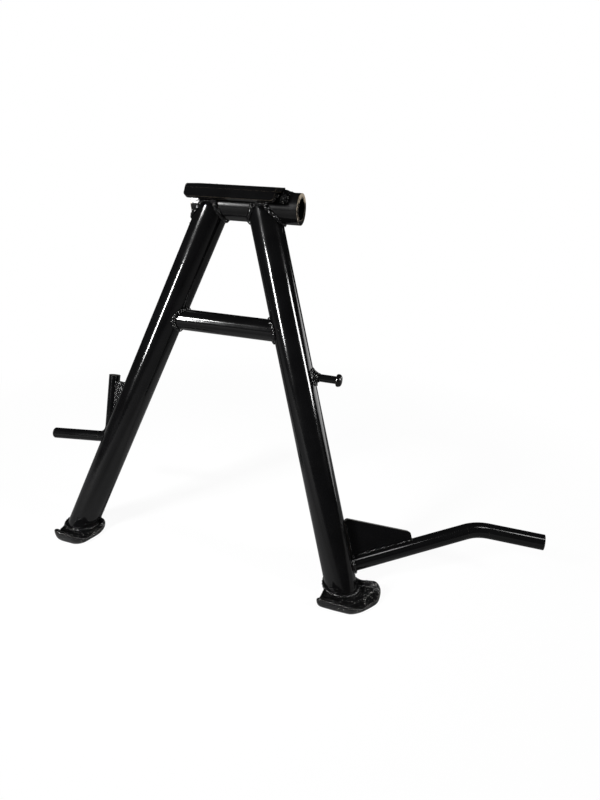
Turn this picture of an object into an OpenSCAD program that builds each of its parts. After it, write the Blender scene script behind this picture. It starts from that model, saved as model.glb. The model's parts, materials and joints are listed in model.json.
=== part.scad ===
// Centre stand for a small motorcycle: a welded A-frame that swings on a
// shaft through the tube across its top.
// Origin: middle of the pivot bore between the legs. +X runs along the pivot
// to the side of the foot lever, +Y to the rear, +Z up, with the feet flat on
// the ground as when the stand is down. Millimetres.

/* [Pivot tube] */
// Outside diameter of the pivot tube
pivot_od = 23.5; // [22:0.1:25]
// Bore for the pivot shaft
pivot_bore = 16.2; // [14:0.1:18]
// Reach of the tube past the middle, lever side
pivot_right = 51; // [46:0.5:60]
// Reach of the tube past the middle, peg side
pivot_left = 36; // [36:0.5:60]

/* [Legs] */
// Outside diameter of a leg tube
leg_od = 25.4; // [24.6:0.1:27]
// Wall of a leg tube
leg_wall = 2.3; // [1.6:0.1:3]
// Angle of each leg from the middle of the stand
leg_splay = 19.25; // [17:0.25:21]
// Distance of each leg axis from the middle, at the pivot
leg_offset = 20.2; // [19:0.1:22]
// Angle at which the legs lean back, with the feet flat
leg_lean = 15; // [10:1:18]
// Height of the pivot above the ground
stand_height = 280; // [265:1:300]
// Height of the leg ends above the pivot axis, along the legs
leg_ear = 0; // [-2:0.5:1]

/* [Cross brace] */
// Outside diameter of the cross brace
brace_od = 17.2; // [14:0.1:20]
// Wall of the cross brace
brace_wall = 2; // [1.5:0.1:3]
// Distance of the brace below the pivot, along the legs
brace_drop = 93.2; // [80:0.1:105]

/* [Stop plate] */
// Thickness of the stop plate
plate_t = 3; // [2.5:0.1:4]
// Reach of the plate past the middle, lever side
plate_right = 37; // [35:0.5:40]
// Reach of the plate past the middle, peg side
plate_left = 35.5; // [33:0.5:36]
// Reach of the flat top behind the pivot axis
plate_back = 4; // [2:0.5:10]
// Reach of the flat top in front of the pivot axis
plate_front = 17; // [16:0.5:19]
// Inner radius of the bend to the front lip
plate_bend = 2; // [1.5:0.5:3]
// Angle by which the front lip is bent down
lip_angle = 60; // [45:1:70]
// Straight length of the front lip
lip_len = 7.2; // [6:0.1:9]
// Corner radius of the plate
plate_corner = 3; // [2:0.5:4]

/* [Feet] */
// Thickness of a foot plate
foot_t = 4; // [3.5:0.1:4.5]
// Reach of a foot plate to the peg side of its leg axis
foot_near = 13; // [12.5:0.5:18]
// Reach of the lever-side foot plate to the lever side of its leg axis
foot_far = 29; // [27:0.5:32]
// Reach of the peg-side foot plate to the lever side of its leg axis
foot_far_left = 22; // [21:0.5:28]
// Reach of a foot plate in front of its leg axis
foot_front = 27; // [26:0.5:30]
// Reach of a foot plate behind its leg axis
foot_rear = 17; // [16.5:0.5:20]
// Height of the turned-up front end
toe_height = 9; // [8:0.5:11]
// Height of the turned-up rear end
heel_height = 6; // [6:0.5:9]
// Lean of the turned-up ends from upright
foot_lean = 18; // [15:1:25]
// Outer radius of the pressed bends
foot_bend = 6; // [5:0.5:7]
// Corner radius of a foot plate in plan
foot_corner = 7; // [5:0.5:8]
// Length of the cut front corner of the lever-side foot plate
foot_cut = 20; // [10:0.5:22]
// Length of the cut front corner of the peg-side foot plate
foot_cut_left = 13; // [8:0.5:18]

/* [Foot lever] */
// Diameter of the lever bar
lever_d = 12.7; // [11:0.1:14]
// Height of the lever root above the ground
lever_root = 17; // [15:0.5:24]
// Height of the lever tip above the ground
lever_rise = 37; // [30:0.5:60]
// Reach of the lever bend from the middle of the stand
lever_bend_x = 218; // [200:1:240]
// Place of the lever bend, front to back
lever_bend_y = -6; // [-20:1:10]
// Reach of the lever tip from the middle of the stand
lever_tip_x = 271; // [255:1:290]
// Centreline radius of the lever bend
lever_radius = 34; // [26:1:40]

/* [Gusset] */
// Thickness of the gusset
gusset_t = 4; // [3:0.1:5]
// Length of the gusset along the lever, from the leg axis
gusset_len = 65; // [55:1:75]
// Height of the gusset over the lever axis at the leg
gusset_root = 36; // [30:1:42]
// Height of the gusset over the lever axis at its far end
gusset_end = 14; // [11:0.5:18]
// Corner radius of the gusset
gusset_corner = 3; // [2:0.5:4]

/* [Spring post] */
// Diameter of the spring post
post_d = 6; // [5:0.1:8]
// Distance of the post below the pivot, along the legs
post_drop = 124.6; // [115:1:140]
// Reach of the post from the middle of the stand
post_reach = 99; // [96:0.5:106]
// Diameter of the post head
post_head_d = 10; // [9:0.1:13]
// Thickness of the post head
post_head_t = 4.2; // [3.5:0.1:5]

/* [Rest peg] */
// Diameter of the rest peg rod
peg_d = 9.5; // [8:0.1:10]
// Distance of the upright part from the middle of the stand
peg_x = 104.6; // [104:0.2:108]
// Distance of the rod behind the plane of the legs
peg_back = 8; // [7.6:0.2:12]
// Distance of the rod top below the pivot, along the legs
peg_top = 149; // [146:0.2:156]
// Distance of the bend below the pivot, along the legs
peg_drop = 205; // [200:0.2:206]
// Reach of the peg from the middle of the stand
peg_reach = 161.5; // [145:1:170]
// Droop of the peg
peg_droop = 6; // [0:1:10]
// Centreline radius of the peg bend
peg_radius = 11; // [9:0.5:14]
// Thickness of the web between the rod and the leg
web_t = 5; // [3:0.5:7]
// Distance of the web below the top of the rod
web_top = 5; // [3:0.5:10]
// Height of the web
web_h = 30; // [20:1:36]

/* [Weld beads] */
// Radius of the drops of a bead between tubes
bead = 3; // [2.4:0.1:3.4]
// Radius of the drops of a bead along the gusset
bead_fine = 2; // [1.6:0.1:2.4]
// Pitch of the drops along a bead
ripple = 3; // [2.6:0.1:3.6]
// Length of the bead off the end of the stop plate
plate_end = 7; // [5:0.5:8]
// Radius of the weld collar round the spring post
collar = 8; // [6:0.5:9]

/* [Hidden] */
$fn = 72;
paint = [0.06, 0.06, 0.065];
bead_paint = [0.1, 0.1, 0.105];

pivot_r = pivot_od / 2;
leg_r = leg_od / 2;
brace_r = brace_od / 2;
ground = -stand_height;
sole_top = ground + foot_t;
long = 2 * stand_height;
// Distance that the leaning ends of a foot reach beyond their bend, at most
foot_out = 3;
foot_block = 120;
foot_tall = 40;
rim_rear = 4;
rim_front = 5;
rim_slope = 7;

// Frame of the legs: turned about the pivot so that local -Z runs down the plane of the legs
module lean() { rotate([-leg_lean, 0, 0]) children(); }
function up(p) = [p[0], p[1] * cos(leg_lean) + p[2] * sin(leg_lean),
  p[2] * cos(leg_lean) - p[1] * sin(leg_lean)];

// Distance of the leg axis from the middle at a height z in the plane of the legs
function leg_axis(z) = leg_offset - z * tan(leg_splay);
// Half width of the leg at a depth y off its axis, measured along X
function leg_half(y) = sqrt(max(0, leg_r * leg_r - y * y)) / cos(leg_splay);
// Distance along the leg axis from the pivot to a level under it
function leg_run(level) = -level / (cos(leg_splay) * cos(leg_lean));
// Point on the leg axis at a level, for the leg of the lever side
function leg_point(level) = [leg_offset + leg_run(level) * sin(leg_splay),
  level * tan(leg_lean), level];

module along_leg(side) {
  lean() translate([side * leg_offset, 0, 0]) rotate([0, -side * leg_splay, 0]) children();
}

// Solid bar of the leg, longer than the leg at both ends
module leg_bar(side, r = leg_r) {
  along_leg(side) translate([0, 0, -leg_run(2 * ground)]) cylinder(r = r, h = leg_run(2 * ground) + leg_r);
}

module pivot_bar(r = pivot_r) {
  translate([-pivot_left, 0, 0]) rotate([0, 90, 0]) cylinder(r = r, h = pivot_left + pivot_right);
}

module brace_bar(r = brace_r) {
  lean() translate([-leg_axis(-brace_drop), 0, -brace_drop]) rotate([0, 90, 0])
    cylinder(r = r, h = 2 * leg_axis(-brace_drop));
}

module pivot_tube() {
  color(paint) difference() {
    pivot_bar();
    translate([-pivot_left - 1, 0, 0]) rotate([0, 90, 0])
      cylinder(d = pivot_bore, h = pivot_left + pivot_right + 2);
  }
}

// A leg: coped on the pivot tube at the top, cut level on the foot plate
module leg(side) {
  color(paint) difference() {
    leg_bar(side);
    leg_bar(side, leg_r - leg_wall);
    pivot_bar();
    lean() translate([-long / 2, -long / 2, leg_ear]) cube(long);
    translate([-long / 2, -long / 2, sole_top - long]) cube(long);
  }
}
// Solid upper part of a leg, cut at its top
module leg_top(side) {
  difference() {
    leg_bar(side);
    lean() translate([-long / 2, -long / 2, leg_ear]) cube(long);
  }
}
module leg_right() { leg(1); }
module leg_left() { leg(-1); }

module cross_brace() {
  color(paint) difference() {
    brace_bar();
    brace_bar(brace_r - brace_wall);
    leg_bar(1);
    leg_bar(-1);
  }
}

// A bend is a hair thicker than the straight parts that run into it
swell = 0.03;

function arc(x, y, r, from, to, steps = 6) =
  [for (i = [0 : steps]) [x + r * cos(from + (to - from) * i / steps), y + r * sin(from + (to - from) * i / steps)]];

// Bend of a plate about an axis along X, from straight down towards +Y by the angle
module plate_bend_x(r_in, t, w, angle) {
  rotate([0, 90, 0]) rotate_extrude(angle = angle) translate([r_in - swell, swell]) square([t + 2 * swell, w - 2 * swell]);
}

// Flat flap of width w and length len towards -Y, its two free corners rounded
module flap(w, len, t, r) {
  linear_extrude(t) polygon(concat([[w, 0], [0, 0]],
    arc(r, r - len, r, 180, 270), arc(w - r, r - len, r, 270, 360)));
}

// Stop plate: flat on top of the pivot tube, its front edge bent down
module stop_plate() {
  w = plate_left + plate_right;
  lap = swell * 5;
  color(paint) translate([-plate_left, 0, 0]) {
    translate([w, -plate_front - lap, pivot_r]) rotate([0, 0, 180])
      flap(w, plate_front + plate_back + lap, plate_t, plate_corner);
    translate([0, -plate_front, pivot_r - plate_bend]) {
      mirror([0, 0, 1]) mirror([0, 1, 0]) plate_bend_x(plate_bend, plate_t, w, lip_angle);
      rotate([lip_angle, 0, 0]) translate([0, lap, plate_bend]) flap(w, lip_len + lap, plate_t, plate_corner);
    }
  }
}

// Side profile of the pressed foot shell, drawn in Y and Z, inset by e
function foot_side(e) = let (r = foot_bend - e, l = foot_lean, k = tan(l),
    f = foot_front - foot_bend / cos(l), b = foot_rear - foot_bend / cos(l), w = r / cos(l))
  concat([[-f - w - (foot_tall - foot_bend) * k, foot_tall]], arc(-f, foot_bend, r, 180 + l, 270),
    arc(b, foot_bend, r, 270, 360 - l), [[b + w + (foot_tall - foot_bend) * k, foot_tall]]);

// Front profile of the pressed foot shell, drawn in X and Z, inset by e
function foot_width(e, far) = let (r = foot_bend - e)
  concat([[-foot_near + e, foot_tall]], arc(-foot_near + e + r, e + r, r, 180, 270),
    arc(far - e - r, e + r, r, 270, 360), [[far - e, foot_tall]]);

// Plan of the foot plate, inset by e, with one front corner cut across
function foot_plan(e, far, cut) = let (r = foot_corner - e, f = foot_front + foot_out - e, b = foot_rear + foot_out - e,
    c = cut + foot_corner * tan(22.5))
  concat(arc(-foot_near + e + r, r - f, r, 180, 270), arc(far - c, r - f, r, 270, 315),
    arc(far - e - r, c - f - e, r, 315, 360), arc(far - e - r, b - r, r, 0, 90),
    arc(-foot_near + e + r, b - r, r, 90, 180));

module foot_shell(e, far, cut) {
  intersection() {
    translate([-foot_block / 2, 0, 0]) rotate([90, 0, 90]) linear_extrude(foot_block) polygon(foot_side(e));
    translate([0, foot_block / 2, 0]) rotate([90, 0, 0]) linear_extrude(foot_block) polygon(foot_width(e, far));
    linear_extrude(foot_block) polygon(foot_plan(e, far, cut));
  }
}

// Rim of the foot plate seen from the side: high ends and low sides
function foot_rim() = let (h = foot_block / 2)
  [[-h, 0], [h, 0], [h, heel_height], [foot_rear - rim_rear, heel_height],
    [foot_rear - rim_rear - rim_slope, foot_t], [rim_front + rim_slope - foot_front, foot_t],
    [rim_front - foot_front, toe_height], [-h, toe_height]];

// Foot plate: a pressed shoe with both ends turned up, welded under the leg
module foot(side, far, cut) {
  at = leg_point(sole_top);
  color(paint) translate([side * at[0], at[1], ground]) intersection() {
    difference() {
      foot_shell(0, far, cut);
      foot_shell(foot_t, far, cut);
    }
    translate([-foot_block / 2, 0, 0]) rotate([90, 0, 90]) linear_extrude(foot_block) polygon(foot_rim());
  }
}
module foot_right() { foot(1, foot_far, foot_cut); }
module foot_left() { foot(-1, foot_far_left, foot_cut_left); }

lever_from = leg_point(ground + lever_root);
lever_knee = [lever_bend_x, lever_bend_y, ground + lever_rise];
lever_run = [lever_knee[0] - lever_from[0], lever_knee[1] - lever_from[1], lever_knee[2] - lever_from[2]];
lever_yaw = atan2(lever_run[1], lever_run[0]);
lever_pitch = atan2(lever_run[2], norm([lever_run[0], lever_run[1]]));
// Angle between the rising part and the tip, which runs along X
lever_turn = acos(lever_run[0] / norm(lever_run));
lever_tangent = lever_radius * tan(lever_turn / 2);
// Roll about X that brings the plane of the bend flat
lever_roll = atan2(lever_run[2], lever_run[1]);

// A bent bar: its straight parts reach a little into the bend
lap = 0.3;

module bar_bend(d, radius, turn) {
  rotate_extrude(angle = turn) translate([radius, 0]) circle(d = d + 2 * swell);
}

module lever_bar() {
  straight = norm(lever_run) - lever_tangent;
  translate(lever_knee) rotate([lever_roll, 0, 0]) {
    // In this frame the tip runs along +X and the rising part comes from -X and -Y
    translate([lever_tangent - lap, 0, 0]) rotate([0, 90, 0])
      cylinder(d = lever_d, h = lever_tip_x - lever_knee[0] - lever_tangent + lap);
    translate([lever_tangent, -lever_radius, 0]) rotate([0, 0, 90]) bar_bend(lever_d, lever_radius, lever_turn);
    rotate([0, 0, lever_turn]) translate([-lever_tangent - straight, 0, 0]) rotate([0, 90, 0])
      cylinder(d = lever_d, h = straight + lap);
  }
}

module foot_lever() {
  color(paint) difference() {
    lever_bar();
    leg_bar(1);
  }
}

// Gusset: a plate in the plane of the leg and the lever, on top of the lever
lever_dir = lever_run / norm(lever_run);
leg_dir = up([sin(leg_splay), 0, -cos(leg_splay)]);
lever_side = cross(leg_dir, lever_dir) / norm(cross(leg_dir, lever_dir));
lever_top = cross(lever_side, lever_dir);

module gusset_plate() {
  x = lever_dir;
  y = lever_top;
  z = lever_side;
  o = lever_from;
  multmatrix([[x[0], y[0], z[0], o[0]], [x[1], y[1], z[1], o[1]], [x[2], y[2], z[2], o[2]]])
    translate([0, 0, -gusset_t / 2]) linear_extrude(gusset_t) polygon(concat([[0, 0]],
      arc(leg_r + gusset_corner, gusset_root - gusset_corner, gusset_corner, 150, 70),
      arc(gusset_len - gusset_corner, gusset_end - gusset_corner, gusset_corner, 70, 0), [[gusset_len, 0]]));
}

module lever_gusset() {
  color(paint) difference() {
    gusset_plate();
    leg_bar(1);
    lever_bar();
  }
}

// Spring post: a round pin along X with a domed head
module spring_post() {
  root = leg_axis(-post_drop);
  color(paint) difference() {
    lean() translate([root, 0, -post_drop]) rotate([0, 90, 0]) {
      cylinder(d = post_d, h = post_reach - root - post_head_t / 2);
      translate([0, 0, post_reach - root - post_head_t]) rotate_extrude()
        polygon(concat([[0, 0], [post_d / 2, 0]], arc(post_head_d / 2 - 1.2, 1.2, 1.2, -60, 0, 3),
          arc(0, 1.6, post_head_d / 2, 0, 0, 1), arc(post_head_d / 2 - 2.6, post_head_t - 2.6, 2.6, 0, 90, 5), [[0, post_head_t]]));
    }
    leg_bar(1);
  }
}

// Rest peg: an upright rod on the outside of the leg, bent outward into a peg
module peg_bar() {
  turn = 90 - peg_droop;
  tangent = peg_radius * tan(turn / 2);
  lean() translate([-peg_x, peg_back, -peg_drop]) {
    translate([0, 0, tangent - lap]) cylinder(d = peg_d, h = peg_drop - peg_top - tangent + lap);
    translate([-peg_radius, 0, tangent]) rotate([-90, 0, 0]) bar_bend(peg_d, peg_radius, turn);
    rotate([0, -peg_droop, 0]) translate([lap - tangent, 0, 0]) rotate([0, -90, 0])
      cylinder(d = peg_d, h = (peg_reach - peg_x) / cos(peg_droop) - tangent + lap);
  }
}

module rest_peg() {
  color(paint) peg_bar();
}

// A bead is a row of overlapping drops along a seam, cut by the pieces that it joins
module drops(points, r = bead) {
  for (p = points) translate(p) sphere(r = r, $fn = 32);
}
function steps(length) = max(6, round(length / ripple));

// Seam of a leg round the underside of the pivot tube, on its inner or outer face
function pivot_side(side, face) = let (n = steps(PI * pivot_r))
  [for (i = [0 : n]) let (a = 180 * i / n, y = -pivot_r * cos(a), z = leg_ear - (pivot_r + leg_ear) * sin(a))
    up([side * (leg_axis(z) + face * leg_half(y)), y, z])];
// Seam along the cut top of a leg, in front of or behind the pivot tube
function pivot_end(side, y) = let (w = leg_half(y), n = max(2, round(2 * w / ripple)))
  [for (i = [1 : n - 1]) up([side * (leg_axis(leg_ear) - w + 2 * w * i / n), y, leg_ear])];

module weld_pivot(side) {
  color(bead_paint) difference() {
    drops(concat(pivot_side(side, -1), pivot_side(side, 1), pivot_end(side, -pivot_r), pivot_end(side, pivot_r)));
    pivot_bar();
    leg_top(side);
  }
}
module weld_pivot_left() { weld_pivot(-1); }
module weld_pivot_right() { mirror([1, 0, 0]) weld_pivot_left(); }

// Beads between the stop plate and the pivot tube
module weld_plate_row(y, z, r) {
  n = steps(plate_left + plate_right - 2 * plate_corner);
  color(bead_paint) difference() {
    drops([for (i = [0 : n]) [plate_corner - plate_left + (plate_left + plate_right - 2 * plate_corner) * i / n, y, z]], r);
    pivot_bar();
    stop_plate();
  }
}
module weld_plate_front() { weld_plate_row(-8.2, pivot_r - 2.7, 2.6); }
module weld_plate_rear() { weld_plate_row(plate_back + 1, pivot_r - 0.2, 2.8); }

// Bead from the end of the stop plate down to the top of the pivot tube
module weld_plate_right() {
  size = plate_end;
  color(bead_paint) translate([plate_right, 0, 0]) rotate([0, 90, 0]) rotate([0, 0, 155]) rotate_extrude(angle = 100)
    polygon([[pivot_r, 0], [pivot_r + plate_t - 0.3, 0], [pivot_r + plate_t - 0.6, size * 0.3],
      [pivot_r + plate_t * 0.45, size * 0.7], [pivot_r, size]]);
}

function brace_seam(side) = let (n = steps(PI * brace_od))
  [for (i = [0 : n - 1]) let (a = 360 * i / n, y = brace_r * cos(a), z = brace_r * sin(a) - brace_drop)
    up([side * (leg_axis(z) - leg_half(y)), y, z])];

module weld_brace(side) {
  color(bead_paint) difference() {
    drops(brace_seam(side));
    leg_bar(side);
    brace_bar();
  }
}
module weld_brace_right() { weld_brace(1); }
module weld_brace_left() { weld_brace(-1); }

// Seam of a leg on its foot plate: where the side of the leg meets the top of the sole
function foot_seam(side) = let (n = steps(PI * leg_od), sa = sin(leg_splay), ca = cos(leg_splay),
    sl = sin(leg_lean), cl = cos(leg_lean))
  [for (i = [0 : n - 1]) let (a = 360 * i / n,
      run = (-sole_top + leg_r * (cos(a) * sa * cl - sin(a) * sl)) / (ca * cl))
    [side * (leg_offset + run * sa + leg_r * cos(a) * ca),
      -run * ca * sl + leg_r * (cos(a) * sa * sl + sin(a) * cl), sole_top]];

module weld_foot(side) {
  color(bead_paint) difference() {
    drops(foot_seam(side));
    leg_bar(side);
    translate([-long / 2, -long / 2, sole_top - long]) cube(long);
  }
}
module weld_foot_right() { weld_foot(1); }
module weld_foot_left() { weld_foot(-1); }

// Distance from a point along a direction to the skin of the lever-side leg, on its far side
function leg_hit(p, u) = let (w = cross(p - [leg_offset, 0, 0], leg_dir), v = cross(u, leg_dir), a = v * v, b = w * v)
  (sqrt(b * b - a * (w * w - leg_r * leg_r)) - b) / a;

module weld_lever() {
  n = steps(PI * lever_d);
  color(bead_paint) difference() {
    drops([for (i = [0 : n - 1]) let (p = lever_from + lever_d / 2 * (cos(360 * i / n) * lever_top + sin(360 * i / n) * lever_side))
      p + leg_hit(p, lever_dir) * lever_dir]);
    leg_bar(1);
    lever_bar();
    gusset_plate();
  }
}

// Beads on one face of the gusset: along the lever and up the leg
module weld_gusset(face) {
  w = face * (gusset_t / 2 + bead_fine / 3) * lever_side;
  first = leg_r + bead + bead_fine;
  top = gusset_root - gusset_corner - bead_fine;
  low = lever_d / 2 + bead + bead_fine;
  n = steps(gusset_len - first - 1);
  m = steps(top - low);
  color(bead_paint) difference() {
    drops(concat([for (i = [0 : n]) lever_from + w + (first + (gusset_len - first - 1) * i / n) * lever_dir + lever_d / 2 * lever_top],
      [for (i = [0 : m]) let (p = lever_from + w + (low + (top - low) * i / m) * lever_top) p + leg_hit(p, lever_dir) * lever_dir]),
      bead_fine);
    leg_bar(1);
    lever_bar();
    gusset_plate();
  }
}
module weld_gusset_front() { weld_gusset(1); }
module weld_gusset_rear() { weld_gusset(-1); }

// Collar of weld round the root of the spring post
module weld_post() {
  root = leg_axis(-post_drop) + leg_half(0);
  n = steps(2 * PI * (collar - bead_fine));
  color(bead_paint) difference() {
    union() {
      lean() translate([root - 4, 0, -post_drop]) rotate([0, 90, 0]) cylinder(r1 = collar, r2 = post_d / 2 + 0.6, h = 9);
      drops([for (i = [0 : n - 1]) let (y = (collar - bead_fine) * cos(360 * i / n), z = (collar - bead_fine) * sin(360 * i / n) - post_drop)
        up([leg_axis(z) + leg_half(y), y, z])], bead_fine);
    }
    leg_bar(1);
    lean() translate([leg_axis(-post_drop), 0, -post_drop]) rotate([0, 90, 0]) cylinder(d = post_d, h = 60);
  }
}

// Weld between the upright part of the rest peg and the leg: a web with a bead below it
module weld_peg() {
  drop = peg_drop - peg_top - web_top - peg_radius;
  color(bead_paint) difference() {
    lean() translate([-peg_x, peg_back, -peg_top - web_top - web_h]) rotate([0, 0, -web_yaw])
      translate([0, -web_t / 2, 0]) cube([peg_d / 2 + leg_r + 10, web_t, web_h]);
    leg_bar(-1);
    peg_bar();
  }
}
web_yaw = atan2(peg_back, peg_x - leg_axis(-peg_top - web_top));

pivot_tube();
stop_plate();
leg_right();
leg_left();
cross_brace();
foot_right();
foot_left();
foot_lever();
lever_gusset();
spring_post();
rest_peg();
weld_pivot_right();
weld_pivot_left();
weld_plate_front();
weld_plate_rear();
weld_plate_right();
weld_brace_right();
weld_brace_left();
weld_foot_right();
weld_foot_left();
weld_lever();
weld_gusset_front();
weld_gusset_rear();
weld_post();
weld_peg();
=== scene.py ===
# %% [markdown]
# # A motorcycle centre stand in gloss black
# The solids of the stand come ready made, in metres, with +X along the pivot, +Y to the rear and +Z up.
# This script gives them paint, worn metal, a floor and light. No solid is moved. The feet and the beads round
# them are built again with softer shapes, and the other weld beads are melted smooth by modifiers.

# %% Load the solids
import json
import math
import random
import bmesh
import bpy
from mathutils import Matrix, Vector
from mathutils.bvhtree import BVHTree


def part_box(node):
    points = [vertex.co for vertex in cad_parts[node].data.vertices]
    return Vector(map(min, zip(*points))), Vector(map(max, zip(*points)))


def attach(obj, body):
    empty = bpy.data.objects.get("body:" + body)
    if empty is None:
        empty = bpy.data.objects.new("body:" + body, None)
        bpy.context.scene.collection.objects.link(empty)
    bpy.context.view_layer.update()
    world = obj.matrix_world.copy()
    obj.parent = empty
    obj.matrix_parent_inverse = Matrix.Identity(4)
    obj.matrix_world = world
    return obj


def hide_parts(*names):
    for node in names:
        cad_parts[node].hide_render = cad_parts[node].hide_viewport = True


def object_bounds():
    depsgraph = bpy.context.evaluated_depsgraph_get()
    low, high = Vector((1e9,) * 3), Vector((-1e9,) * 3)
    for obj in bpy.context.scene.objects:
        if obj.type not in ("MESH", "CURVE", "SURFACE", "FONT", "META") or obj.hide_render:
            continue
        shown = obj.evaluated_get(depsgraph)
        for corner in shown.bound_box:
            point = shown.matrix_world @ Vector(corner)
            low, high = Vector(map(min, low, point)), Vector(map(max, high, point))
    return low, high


MILLIMETRES = 1000

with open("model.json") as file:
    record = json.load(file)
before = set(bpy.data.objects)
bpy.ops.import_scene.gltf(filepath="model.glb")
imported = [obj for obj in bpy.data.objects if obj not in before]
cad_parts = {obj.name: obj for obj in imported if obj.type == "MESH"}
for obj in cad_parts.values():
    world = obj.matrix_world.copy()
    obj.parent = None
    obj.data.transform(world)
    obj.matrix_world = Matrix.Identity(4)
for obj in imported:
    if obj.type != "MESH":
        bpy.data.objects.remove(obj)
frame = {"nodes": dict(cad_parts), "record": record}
nodes = frame["nodes"]
cad_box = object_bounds()
ground = cad_box[0][2]
print("solids:", len(nodes), "box:", [[round(v, 4) for v in corner] for corner in cad_box])

# %% [markdown]
# ## The camera
# The photograph was taken from a little above the pivot, with the lens turned well down and slightly
# rolled. The place and the turn were solved from the edges of the tubes, which are all straight lines,
# so the camera is set from its three axes and not aimed by eye. It comes first because the lens decides
# which details are worth making.

# %% Place the camera
CAMERA_PLACE = Vector((0.17853, -0.42179, 0.02425))
CAMERA_RIGHT = Vector((0.95465, 0.29418, 0.0459))
CAMERA_DOWN = Vector((0.15212, -0.3494, -0.92454))
FOCAL_PIXELS = 550
IMAGE_HEIGHT = 800
SENSOR = 36.0
NEAREST = 0.01

right = CAMERA_RIGHT.normalized()
back = right.cross(-CAMERA_DOWN).normalized()
up = back.cross(right)
lens = bpy.data.cameras.new("camera")
lens.sensor_width = SENSOR
lens.lens = SENSOR * FOCAL_PIXELS / IMAGE_HEIGHT
lens.clip_start = NEAREST
camera = bpy.data.objects.new("camera", lens)
camera.matrix_world = Matrix.Translation(CAMERA_PLACE) @ Matrix((right, up, back)).transposed().to_4x4()
bpy.context.scene.collection.objects.link(camera)
bpy.context.scene.camera = camera
print("camera looks along", tuple(round(v, 3) for v in -back), "lens", round(lens.lens, 2), "mm")

# %% [markdown]
# ## Helpers for node trees
# A shader is a tree of small steps, and most of them are one of a few kinds: a noise, some arithmetic, a
# range spread over 0 to 1, a mix by a mask. Each kind gets a helper whose arguments may be numbers or
# sockets, so that the effects further down read like formulas.

# %% Helpers
def set_input(tree, socket, value):
    """Gives a socket a constant, or links it to the socket that is passed."""
    if isinstance(value, bpy.types.NodeSocket):
        tree.links.new(value, socket)
    else:
        socket.default_value = value


def new_group(name, inputs, output, kind="NodeSocketFloat"):
    """A shader node group with a named input for each (name, value) and one named output of the given kind."""
    group = bpy.data.node_groups.new(name, "ShaderNodeTree")
    for label, value in inputs:
        group.interface.new_socket(name=label, in_out="INPUT", socket_type="NodeSocketFloat").default_value = value
    group.interface.new_socket(name=output, in_out="OUTPUT", socket_type=kind)
    start = group.nodes.new("NodeGroupInput")
    end = group.nodes.new("NodeGroupOutput")
    return group, start.outputs, end.inputs[output]


def add_group(tree, group, **values):
    """A use of a node group, with constants for its inputs. Gives the group's one output."""
    node = tree.nodes.new("ShaderNodeGroup")
    node.node_tree = group
    for label, value in values.items():
        node.inputs[label].default_value = value
    return node.outputs[0]


def object_place(tree):
    """The place on the object, in its own coordinates, so that an effect is fixed to the metal."""
    return tree.nodes.new("ShaderNodeTexCoord").outputs["Object"]


def add_noise(tree, scale, detail=2.0, roughness=0.5):
    noise = tree.nodes.new("ShaderNodeTexNoise")
    noise.inputs["Detail"].default_value = detail
    noise.inputs["Roughness"].default_value = roughness
    set_input(tree, noise.inputs["Scale"], scale)
    tree.links.new(object_place(tree), noise.inputs["Vector"])
    return noise.outputs["Fac"]


def add_math(tree, operation, *values, clamp=False):
    node = tree.nodes.new("ShaderNodeMath")
    node.operation = operation
    node.use_clamp = clamp
    for socket, value in zip(node.inputs, values):
        set_input(tree, socket, value)
    return node.outputs[0]


def add_ramp(tree, value, low, high):
    """Spreads the values from low to high over 0 to 1."""
    ramp = tree.nodes.new("ShaderNodeMapRange")
    ramp.inputs["From Min"].default_value = low
    ramp.inputs["From Max"].default_value = high
    tree.links.new(value, ramp.inputs["Value"])
    return ramp.outputs["Result"]


def mix_value(tree, mask, a, b):
    """a where the mask is 0 and b where it is 1."""
    mix = tree.nodes.new("ShaderNodeMapRange")
    set_input(tree, mix.inputs["To Min"], a)
    set_input(tree, mix.inputs["To Max"], b)
    tree.links.new(mask, mix.inputs["Value"])
    return mix.outputs["Result"]


def mix_colour(tree, mask, a, b):
    """The colour a where the mask is 0 and b where it is 1."""
    mix = tree.nodes.new("ShaderNodeMix")
    mix.data_type = "RGBA"
    for label, value in (("A", a), ("B", b)):
        socket = next(s for s in mix.inputs if s.name == label and s.type == "RGBA")
        set_input(tree, socket, value)
    tree.links.new(mask, mix.inputs["Factor"])
    return next(s for s in mix.outputs if s.type == "RGBA")


print("helpers:", ", ".join(f.__name__ for f in (set_input, new_group, add_group, object_place, add_noise,
    add_math, add_ramp, mix_value, mix_colour)))

# %% [markdown]
# ## Orange peel
# Four effects make up the finishes, and each is a node group that is built once. The first is the
# orange peel of sprayed enamel: very shallow, soft waves that make a reflection wander along a tube, with
# a little fine grain on top.

# %% Orange peel
GRAIN_SCALE = 2600.0


def make_orange_peel():
    group, start, end = new_group("orange_peel", [("Scale", 300.0), ("Depth", 0.00002), ("Grit", 0.2)],
        "Normal", "NodeSocketVector")
    waves = add_noise(group, start["Scale"], detail=1.0)
    grain = add_noise(group, GRAIN_SCALE)
    bump = group.nodes.new("ShaderNodeBump")
    group.links.new(start["Depth"], bump.inputs["Distance"])
    group.links.new(add_math(group, "MULTIPLY_ADD", grain, start["Grit"], waves), bump.inputs["Height"])
    group.links.new(bump.outputs["Normal"], end)
    return group


orange_peel = make_orange_peel()
print("group", orange_peel.name, "has", len(orange_peel.nodes), "nodes")

# %% [markdown]
# ## Edge wear
# Enamel is thin where it runs off a sharp edge, and that is where it first rubs through. A bevel node
# gives a normal that turns before the edge does, and how far it departs from the true normal is the mask.
# A noise breaks the mask up, so that the wear comes in flecks and not as an even line.

# %% Edge wear
BEVEL_SAMPLES = 4
EDGE_AGREEMENT = (0.985, 0.88)
WEAR_SCALE = 420.0
WEAR_PATCHES = (0.62, 0.42)


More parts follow.
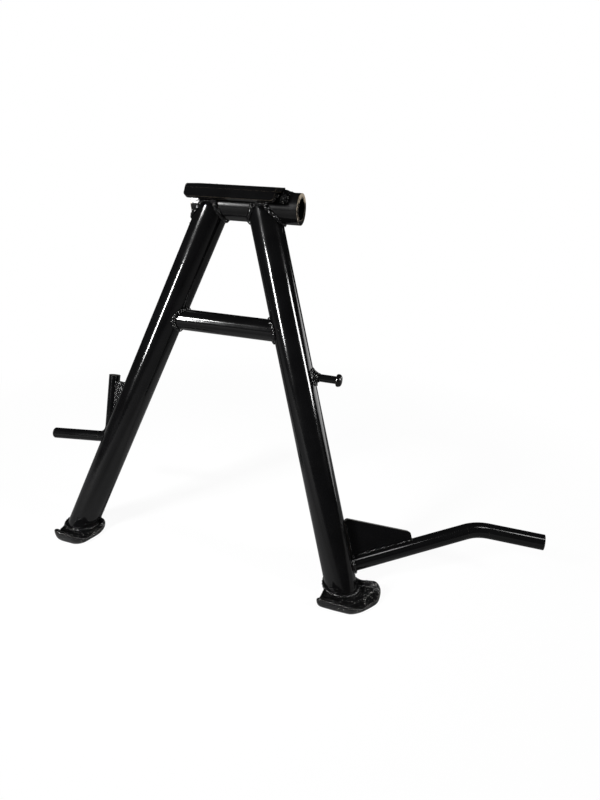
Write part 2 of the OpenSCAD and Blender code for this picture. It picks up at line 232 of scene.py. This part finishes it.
def make_edge_wear():
    group, start, end = new_group("edge_wear", [("Width", 0.0006), ("Amount", 0.5)], "Mask")
    bevel = group.nodes.new("ShaderNodeBevel")
    bevel.samples = BEVEL_SAMPLES
    group.links.new(start["Width"], bevel.inputs["Radius"])
    agreement = group.nodes.new("ShaderNodeVectorMath")
    agreement.operation = "DOT_PRODUCT"
    group.links.new(bevel.outputs["Normal"], agreement.inputs[0])
    group.links.new(group.nodes.new("ShaderNodeNewGeometry").outputs["True Normal"], agreement.inputs[1])
    edge = add_ramp(group, agreement.outputs["Value"], *EDGE_AGREEMENT)
    patches = add_ramp(group, add_noise(group, WEAR_SCALE, detail=4.0, roughness=0.7), *WEAR_PATCHES)
    worn = add_math(group, "MULTIPLY", edge, patches)
    group.links.new(add_math(group, "MULTIPLY", worn, start["Amount"], clamp=True), end)
    return group


edge_wear = make_edge_wear()
print("group", edge_wear.name, "has", len(edge_wear.nodes), "nodes")

# %% [markdown]
# ## Painted glints
# Round the welds and on the feet the paint lies over grit and small drops, and the points that stick up catch the
# light as tiny glints. These are painted in as pale specks, a painted highlight in the colour, so they are a mask:
# the peaks of a fine noise. A coarser noise under it gathers the specks into patches.

# %% Painted glints
PATCH_SCALE = 70.0
PATCH_SHARE = 0.35
GLINT_PEAKS = (0.96, 1.02)


# The mask of the painted glints: pale specks that stand in for highlights on the rough paint.
def make_painted_glints():
    group, start, end = new_group("painted_glints", [("Scale", 950.0), ("Cover", 0.1)], "Mask")
    fine = add_noise(group, start["Scale"], roughness=0.6)
    spread = add_noise(group, PATCH_SCALE)
    both = add_math(group, "MULTIPLY_ADD", spread, PATCH_SHARE, fine)
    lifted = add_math(group, "ADD", both, start["Cover"])
    group.links.new(add_ramp(group, lifted, *GLINT_PEAKS), end)
    return group


painted_glints = make_painted_glints()
print("group", painted_glints.name, "has", len(painted_glints.nodes), "nodes")

# %% [markdown]
# ## Bare ends
# The open right end of the pivot tube rubs on the frame of the motorcycle, so the paint is gone from the
# ring and the steel has turned a little brown. The mask is 1 only beyond a given X, where nothing is left of
# the tube but its end face, and it is stronger at the top of the ring than at the bottom.

# %% Bare ends
RUB_HEIGHTS = (-0.006, 0.012)
RUB_SHARE = 0.22
RUB_SCALE = 150.0
RUB_PATCHES = (0.56, 0.72)


def make_bare_ends():
    group, start, end = new_group("bare_ends", [("From", 0.05), ("Amount", 1.0)], "Mask")
    split = group.nodes.new("ShaderNodeSeparateXYZ")
    group.links.new(object_place(group), split.inputs[0])
    far = add_math(group, "GREATER_THAN", split.outputs["X"], start["From"])
    high = add_ramp(group, split.outputs["Z"], *RUB_HEIGHTS)
    grain = add_noise(group, RUB_SCALE, detail=5.0, roughness=0.65)
    rub = add_math(group, "MULTIPLY_ADD", high, RUB_SHARE, grain)
    bare = add_math(group, "MULTIPLY", far, add_ramp(group, rub, *RUB_PATCHES))
    group.links.new(add_math(group, "MULTIPLY", bare, start["Amount"]), end)
    return group


bare_ends = make_bare_ends()
print("group", bare_ends.name, "has", len(bare_ends.nodes), "nodes")

# %% [markdown]
# ## Gloss black enamel
# The stand has one coat of gloss black. A dark dielectric base with a smooth surface already gives the
# look: nearly black where it faces a dark room, and a clean streak where it faces a lamp. Worn places show
# rougher steel, and a slow noise makes the gloss and the depth of the black vary over the tubes.

# %% Black enamel
BLACK = (0.0012, 0.0012, 0.0013, 1.0)
THIN_BLACK = (0.003, 0.003, 0.0032, 1.0)
BARE_STEEL = (0.4, 0.33, 0.24, 1.0)
# Colour of the painted glints, pale specks that stand in for highlights round the welds and on the feet
PAINTED_GLINT_COLOUR = (0.5, 0.5, 0.47, 1.0)
STEEL_ROUGHNESS = 0.4
ENAMEL_SPECULAR = 0.3
BARE_AMOUNT = 0.9
CLOUD_SCALE = 60.0
CLOUD_RANGE = (0.2, 0.9)
GLOSS_SPREAD = (0.8, 1.35)
RING_DEPTH = 0.0002


def enamel(name, roughness=0.11, peel=0.00002, peel_scale=300.0, grit=0.1, wear=0.2, wear_width=0.0005,
        bare_from=None, glint_cover=None):
    """Gloss black enamel, with bare steel beyond the X of bare_from, and painted glints where a glint_cover is
    given: pale specks that stand in for highlights.
    """
    material = bpy.data.materials.new(name)
    material.use_nodes = True
    tree = material.node_tree
    shader = tree.nodes["Principled BSDF"]
    mask = add_group(tree, edge_wear, Width=wear_width, Amount=wear)
    if bare_from is not None:
        mask = add_math(tree, "MAXIMUM", mask, add_group(tree, bare_ends, From=bare_from, Amount=BARE_AMOUNT))
    cloud = add_noise(tree, CLOUD_SCALE, detail=3.0)
    colour = mix_colour(tree, mask, mix_colour(tree, cloud, BLACK, THIN_BLACK), BARE_STEEL)
    # Painted highlights: pale specks mixed into the colour where glints of light would be
    if glint_cover is not None:
        colour = mix_colour(tree, add_group(tree, painted_glints, Cover=glint_cover), colour, PAINTED_GLINT_COLOUR)
    low, high = (roughness * share for share in GLOSS_SPREAD)
    gloss = mix_value(tree, add_ramp(tree, cloud, *CLOUD_RANGE), low, high)
    tree.links.new(colour, shader.inputs["Base Color"])
    tree.links.new(mix_value(tree, mask, gloss, STEEL_ROUGHNESS), shader.inputs["Roughness"])
    tree.links.new(mask, shader.inputs["Metallic"])
    tree.links.new(add_group(tree, orange_peel, Scale=peel_scale, Depth=peel, Grit=grit), shader.inputs["Normal"])
    shader.inputs["Specular IOR Level"].default_value = ENAMEL_SPECULAR
    return material


paint = enamel("black_enamel")
# The weld and foot enamels carry the painted glints
weld_paint = enamel("weld_enamel", roughness=0.12, peel=0.0004, peel_scale=600.0, grit=0.5, wear=0.0,
    glint_cover=0.08)
foot_paint = enamel("foot_enamel", roughness=0.15, peel=0.0006, peel_scale=520.0, grit=0.5, wear=0.12,
    wear_width=0.0008, glint_cover=0.07)
pivot_paint = enamel("pivot_enamel", roughness=0.18, peel=0.00003, wear=0.8, wear_width=0.0007,
    bare_from=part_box("pivot_tube")[1][0] - RING_DEPTH)
print("enamels:", [m.name for m in bpy.data.materials if "enamel" in m.name])

# %% [markdown]
# ## The feet
# Each foot is a small shoe that is pressed from 4 mm plate: a flat sole whose front and rear run up into
# thick, soft-edged lips, with one front corner cut across. A press leaves no sharp edge anywhere, so the shoe
# is built from its rim. Named points give the rim's plan and how far it rises, a smooth closed curve is run
# through them, and every point of the curve carries the same bent section from the underside over the rim
# to the sole. It replaces the plainer solid of the same foot.

# %% The rims of the two feet
SOLE_TOP = 0.004
BEND = 0.0034
LIP = 0.0036
SIDE_EDGE = 0.001
# Points of a rim as (x, y, rise) in millimetres from the foot of the leg's axis, counter-clockwise from above
RIGHT_RIM = [(-14.5, -26, 7.5), (-6, -27.6, 8.5), (4, -28, 8.5), (13, -27.3, 7), (19.7, -22.4, 4),
    (25.2, -14.8, 2), (29.2, -7.6, 1), (30.4, -1.5, 2), (29.8, 3.8, 6), (25.5, 8.2, 8), (19, 8.2, 7.5),
    (13, 9, 6), (6, 14.5, 3), (-4, 15, 1), (-11.5, 10.5, 0.5), (-13.5, 2, 0.5), (-13.5, -8, 0.5), (-14, -18, 2)]
LEFT_RIM = [(-9, -25.3, 9.5), (-4, -27.9, 10), (4, -28.5, 10), (12.5, -28, 9), (18.3, -23.4, 5.5),
    (20.8, -14.8, 2.5), (21.9, -6.3, 1), (22.2, 0, 2.5), (21.2, 4.3, 6), (17.5, 7, 7), (13, 8.4, 6.3),
    (6, 14.5, 3), (-4, 15, 1), (-11, 10.5, 0.5), (-13, 2, 0.5), (-12.5, -8, 0.5), (-11, -18, 3)]
print("rim points:", len(RIGHT_RIM), len(LEFT_RIM))

# %% [markdown]
# A Catmull-Rom curve passes through each of its points, so the numbers above are places on the finished rim
# and not handles beside it.

# %% A closed curve through the points of a rim
SPAN_STEPS = 6


def smooth_loop(points):
    """A closed Catmull-Rom curve through the points."""
    loop = []
    count = len(points)
    for i in range(count):
        a, b, c, d = (Vector(points[(i + k) % count]) for k in (-1, 0, 1, 2))
        for step in range(SPAN_STEPS):
            t = step / SPAN_STEPS
            loop.append(0.5 * (2 * b + (c - a) * t + (2 * a - 5 * b + 4 * c - d) * t * t
                + (3 * b - a - 3 * c + d) * t ** 3))
    return loop


print("points on the curve of each rim:", len(smooth_loop(RIGHT_RIM)), len(smooth_loop(LEFT_RIM)))

# %% [markdown]
# The section is two bends and the lip between them. Where the rim lies low the lip thins to the edge of the
# plate, and where it stands up it has its full thickness and a slightly domed top.

# %% The bent section at one point of the rim
FULL_TURN = 0.005
DOME = 0.0008
INNER_BEND = BEND * 0.8
BEND_STEPS = 5
LIP_STEPS = 4
LIP_EASE = 1.4


def foot_section(rise):
    """Points of the section as (distance in from the rim, height), from the underside over the rim to the sole."""
    turned = min(1.0, rise / FULL_TURN)
    lip = SIDE_EDGE + (LIP - SIDE_EDGE) * turned
    top = max(SOLE_TOP, rise)
    section = []
    for k in range(BEND_STEPS + 1):
        turn = math.pi / 2 * k / BEND_STEPS
        section.append((BEND * (1 - math.sin(turn)), rise * (1 - math.cos(turn))))
    for k in range(1, LIP_STEPS):
        across = k / LIP_STEPS
        climb = (top - rise) * min(1.0, 2 * across)
        section.append((lip * across ** LIP_EASE, rise + climb + DOME * turned * math.sin(math.pi * across)))
    for k in range(BEND_STEPS + 1):
        turn = math.pi / 2 * (1 - k / BEND_STEPS)
        section.append((lip + INNER_BEND * (1 - math.sin(turn)), SOLE_TOP + (top - SOLE_TOP) * (1 - math.cos(turn))))
    return section


print("points of a section:", len(foot_section(FULL_TURN)))

# %% [markdown]
# The two feet and all pieces after them are handed over in the same way: the mesh becomes an object with one
# finish, and it is made to ride on the one body there is.

# %% Build the feet
def hand_over(name, bm, material):
    """An object from a bmesh, painted, riding on the root body."""
    mesh = bpy.data.meshes.new(name)
    bm.to_mesh(mesh)
    bm.free()
    piece = bpy.data.objects.new(name, mesh)
    bpy.context.scene.collection.objects.link(piece)
    mesh.shade_smooth()
    mesh.materials.append(material)
    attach(piece, "root")
    return piece


def make_foot(name, rim, foot_of_leg):
    loop = smooth_loop(rim)
    middle = sum((Vector((q[0], q[1])) for q in loop), Vector((0, 0))) / len(loop) / MILLIMETRES
    bm = bmesh.new()
    rows = []
    for q in loop:
        edge = Vector((q[0], q[1])) / MILLIMETRES
        inward = (middle - edge).normalized()
        rows.append([bm.verts.new((*(edge + inward * distance), height))
            for distance, height in foot_section(max(q[2], 0.0) / MILLIMETRES)])
    following = rows[1:] + rows[:1]
    for row, after in zip(rows, following):
        for a, b, c, d in zip(row, after, after[1:], row[1:]):
            bm.faces.new((a, d, c, b))
    for end, height in ((0, 0.0), (-1, SOLE_TOP)):
        centre = bm.verts.new((middle[0], middle[1], height))
        for row, after in zip(rows, following):
            bm.faces.new((row[end], after[end], centre) if end == 0 else (after[end], row[end], centre))
    bmesh.ops.recalc_face_normals(bm, faces=bm.faces)
    foot = hand_over(name, bm, foot_paint)
    foot.location = foot_of_leg
    soft = foot.modifiers.new("soft edge", "SUBSURF")
    soft.levels = soft.render_levels = 1
    return foot


mounts = {m["name"]: m["pos_m"] for m in frame["record"]["mounts"]}
shoes = []
for side, rim in (("right", RIGHT_RIM), ("left", LEFT_RIM)):
    x, y, _ = mounts["sole_" + side]
    shoe = make_foot("shoe_" + side, rim, (x, y, ground))
    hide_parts("foot_" + side)
    shoes.append(shoe)
    print(shoe.name, "has", len(shoe.data.polygons), "faces")

# %% [markdown]
# ## Finishes on the solids
# Each solid takes the finish of its kind. The ripples of a bead are then melted into each other, as flowing
# metal does: the bead is remeshed as one skin, smoothed, and drawn in a little so that it wets into the
# joint. The bead of the rest peg keeps its shape, and the beads of the feet are built again below.

# %% Put the finishes on the solids
MELTED_GRAIN = 0.00045
MELTED_SINK = 0.0007
MELTING_PASSES = 14
NOT_MELTED = ("weld_peg", "weld_foot")


def finish_of(name):
    if name.startswith("weld"):
        return weld_paint
    if name.startswith("foot_") and name != "foot_lever":
        return foot_paint
    if name == "pivot_tube":
        return pivot_paint
    return paint


def melt(weld):
    skin = weld.modifiers.new("one skin", "REMESH")
    skin.mode = "VOXEL"
    skin.voxel_size = MELTED_GRAIN
    skin.use_smooth_shade = True
    flow = weld.modifiers.new("flow", "SMOOTH")
    flow.factor = 0.5
    flow.iterations = MELTING_PASSES
    sink = weld.modifiers.new("wetted in", "DISPLACE")
    sink.mid_level = 0.0
    sink.strength = -MELTED_SINK


for name, solid in sorted(nodes.items()):
    solid.data.materials.clear()
    solid.data.materials.append(finish_of(name))
    solid.data.shade_smooth()
    if name.startswith("weld") and not name.startswith(NOT_MELTED):
        melt(solid)
print("painted", len(nodes), "solids")

# %% [markdown]
# ## The beads round the feet
# The leg stands on the sole, and a bead runs round it in the corner between the two. The lowest ring of the
# leg's own mesh gives the path. A round section is carried along it, and its size swells and shrinks a little
# with each stop of the torch.

# %% A bead along a ring
BEAD_RADIUS = 0.0019
BEAD_SIDES = 10
BEAD_STEPS = 96
BEAD_RIPPLES = 30
BEAD_SWELLS = 5
RIPPLE_DEPTH = 0.13
SWELL_DEPTH = 0.1
BEAD_OUT = 0.0002
BEAD_LIFT = 0.0004
RING_TOLERANCE = 0.0003


def make_foot_bead(side):
    """A bead round the lowest ring of a leg, and how far that ring reaches from its middle."""
    foot_level = ground + SOLE_TOP
    ring = [v.co for v in nodes["leg_" + side].data.vertices if abs(v.co.z - foot_level) < RING_TOLERANCE]
    middle = sum(ring, Vector()) / len(ring)
    reach = {}
    for point in ring:
        arm = point - middle
        sector = round(math.atan2(arm.y, arm.x) / math.tau * BEAD_STEPS) % BEAD_STEPS
        reach[sector] = max(reach.get(sector, 0.0), arm.length)
    longest = max(reach.values())
    bm = bmesh.new()
    rows = []
    for step in range(BEAD_STEPS):
        near = [reach[k % BEAD_STEPS] for k in range(step - 2, step + 3) if k % BEAD_STEPS in reach]
        turn = math.tau * step / BEAD_STEPS
        out = Vector((math.cos(turn), math.sin(turn), 0.0))
        radius = max(near) if near else longest
        size = BEAD_RADIUS * (1 + RIPPLE_DEPTH * math.sin(BEAD_RIPPLES * turn)
            + SWELL_DEPTH * math.sin(BEAD_SWELLS * turn + 1))
        heart = middle + out * (radius + BEAD_OUT) + Vector((0, 0, foot_level + BEAD_LIFT - middle.z))
        rows.append([bm.verts.new(heart + size * (math.cos(a) * out + math.sin(a) * Vector((0, 0, 1))))
            for a in (math.tau * k / BEAD_SIDES for k in range(BEAD_SIDES))])
    for row, after in zip(rows, rows[1:] + rows[:1]):
        for k in range(BEAD_SIDES):
            n = (k + 1) % BEAD_SIDES
            bm.faces.new((row[k], row[n], after[n], after[k]))
    bmesh.ops.recalc_face_normals(bm, faces=bm.faces)
    bead = hand_over("foot_bead_" + side, bm, weld_paint)
    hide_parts("weld_foot_" + side)
    return bead, longest


for side in ("right", "left"):
    bead, longest = make_foot_bead(side)
    print(bead.name, "runs", round(longest * MILLIMETRES, 1), "mm from the middle of the leg")

# %% [markdown]
# ## Weld spatter
# A torch throws small drops of steel that freeze beside the bead, and the paint goes over them. Each drop is
# a low dome: a point is picked on a bead, moved a little at random, and dropped onto the nearest painted
# face. One mesh holds them all, and the random numbers start from a fixed seed, so they fall the same way
# each time.

# %% Weld spatter
SPATTER_SEED = 11
SPATTER_REACH = 0.009
DROP_SIZES = (0.00025, 0.0007)
DROP_WIDTHS = (0.7, 1.0)
DROP_HEIGHT = 0.6
SPATTER = {"weld_pivot_right": 26, "weld_pivot_left": 22, "weld_plate_front": 10, "weld_brace_right": 12,
    "weld_brace_left": 10, "weld_foot_right": 60, "weld_foot_left": 46, "weld_gusset_front": 16, "weld_peg": 8}
CARRIERS = ["leg_right", "leg_left", "stop_plate", "pivot_tube", "cross_brace", "lever_gusset"]


def surface_of(carriers):
    """The painted faces of the carriers in one tree that finds the face nearest to a point."""
    graph = bpy.context.evaluated_depsgraph_get()
    corners, faces = [], []
    for carrier in carriers:
        shape = carrier.evaluated_get(graph)
        start = len(corners)
        corners += [carrier.matrix_world @ v.co for v in shape.data.vertices]
        faces += [[start + k for k in polygon.vertices] for polygon in shape.data.polygons]
    return BVHTree.FromPolygons(corners, faces)


def make_spatter():
    rng = random.Random(SPATTER_SEED)
    skin = surface_of([nodes[name] for name in CARRIERS] + shoes)
    bm = bmesh.new()
    for name, count in SPATTER.items():
        bead = nodes[name]
        for _ in range(count):
            start = bead.matrix_world @ rng.choice(bead.data.vertices).co
            start += Vector([rng.gauss(0, SPATTER_REACH / 2) for _ in range(3)])
            place, normal, _, _ = skin.find_nearest(start)
            size = rng.uniform(*DROP_SIZES)
            turn = normal.to_track_quat("Z", "Y").to_matrix().to_4x4()
            flat = Matrix.Diagonal((size, size * rng.uniform(*DROP_WIDTHS), size * DROP_HEIGHT, 1.0))
            bmesh.ops.create_icosphere(bm, subdivisions=1, radius=1.0,
                matrix=Matrix.Translation(place) @ turn @ flat)
    return hand_over("spatter", bm, weld_paint)


spatter = make_spatter()
print("drops of spatter:", sum(SPATTER.values()), "faces:", len(spatter.data.polygons))

# %% [markdown]
# ## Floor
# The stand is shown on white with hardly a shadow, as a shop shows a spare part. To the camera the floor is
# almost all plain white, and a small share of its lit colour brings in the shadow. In the paint it is
# mirrored much darker, because the low parts of the tubes are nearly as black as the rest.

# %% Floor
FLOOR_SIZE = 6.0
FLOOR_GAP = 0.0002
FLOOR_ROUGHNESS = 0.9
PALE_PAPER = (0.8, 0.8, 0.8, 1.0)
DARK_TABLE = (0.1, 0.1, 0.1, 1.0)
PAPER_EDGE = (0.14, 0.5)
SHADOW_SHARE = 0.06
MIRRORED_SHARE = 0.04
MIRRORED_DIMMING = 0.75

floor_material = bpy.data.materials.new("pale_floor")
floor_material.use_nodes = True
tree = floor_material.node_tree
paths = tree.nodes.new("ShaderNodeLightPath").outputs
distance = tree.nodes.new("ShaderNodeVectorMath")
distance.operation = "LENGTH"
tree.links.new(object_place(tree), distance.inputs[0])
away = add_ramp(tree, distance.outputs["Value"], *PAPER_EDGE)
dimmed = add_math(tree, "MULTIPLY_ADD", paths["Is Glossy Ray"], MIRRORED_DIMMING, away, clamp=True)
floor_shader = tree.nodes["Principled BSDF"]
floor_shader.inputs["Roughness"].default_value = FLOOR_ROUGHNESS
tree.links.new(mix_colour(tree, dimmed, PALE_PAPER, DARK_TABLE), floor_shader.inputs["Base Color"])
white = tree.nodes.new("ShaderNodeEmission")
shown = add_math(tree, "MULTIPLY", paths["Is Camera Ray"], mix_value(tree, away, 1.0 - SHADOW_SHARE, 1.0))
blend = tree.nodes.new("ShaderNodeMixShader")
tree.links.new(add_math(tree, "MULTIPLY_ADD", paths["Is Glossy Ray"], MIRRORED_SHARE, shown), blend.inputs["Fac"])
tree.links.new(floor_shader.outputs["BSDF"], blend.inputs[1])
tree.links.new(white.outputs["Emission"], blend.inputs[2])
tree.links.new(blend.outputs["Shader"], tree.nodes["Material Output"].inputs["Surface"])

bpy.ops.mesh.primitive_plane_add(size=FLOOR_SIZE, location=(0.0, 0.0, ground - FLOOR_GAP))
floor = bpy.context.object
floor.name = "floor"
floor.data.materials.append(floor_material)
print("floor at", round(floor.location.z, 4), "m, shadow share", SHADOW_SHARE)

# %% [markdown]
# ## Light
# The room is white to the camera and almost dark to everything else, so the paint stays black. Each streak in
# the photograph is the mirror image of a lamp, and its slope and its ends tell where that lamp stood: two on
# the left for the left faces of the legs and the top of the brace, one tall strip and a wide panel on the
# right, and a weak one overhead.

# %% Light
ROOM_STRENGTH = 0.008
MIDDLE = Vector((0.0, -0.04, -0.14))
# Each lamp as name, place, width, height and power in watts
LAMPS = [("left_front", (-0.68, -1.14, 0.2), 0.09, 0.28, 20),
    ("left_high", (-0.7, -1.0, 0.6), 0.24, 0.08, 24),
    ("right_strip", (1.2, -0.1, 0.41), 0.19, 0.36, 14),
    ("rear_panel", (1.1, 0.9, -0.05), 0.9, 0.5, 6),
    ("right_overhead", (0.5, -0.3, 1.25), 0.2, 0.15, 2)]


def softbox(name, place, width, height, power):
    """A flat lamp that faces the middle of the stand."""
    data = bpy.data.lights.new(name, "AREA")
    data.shape = "RECTANGLE"
    data.size = width
    data.size_y = height
    data.energy = power
    lamp = bpy.data.objects.new(name, data)
    lamp.location = place
    lamp.rotation_euler = (MIDDLE - lamp.location).to_track_quat("-Z", "Y").to_euler()
    bpy.context.scene.collection.objects.link(lamp)
    return lamp


world = bpy.data.worlds.new("room")
bpy.context.scene.world = world
world.use_nodes = True
tree = world.node_tree
room = tree.nodes["Background"]
room.inputs["Color"].default_value = (1.0, 1.0, 1.0, 1.0)
to_camera = tree.nodes.new("ShaderNodeLightPath").outputs["Is Camera Ray"]
tree.links.new(mix_value(tree, to_camera, ROOM_STRENGTH, 1.0), room.inputs["Strength"])
lamps = [softbox(*lamp) for lamp in LAMPS]
bpy.context.scene.view_settings.view_transform = "Standard"
print("lamps:", [lamp.name for lamp in lamps])
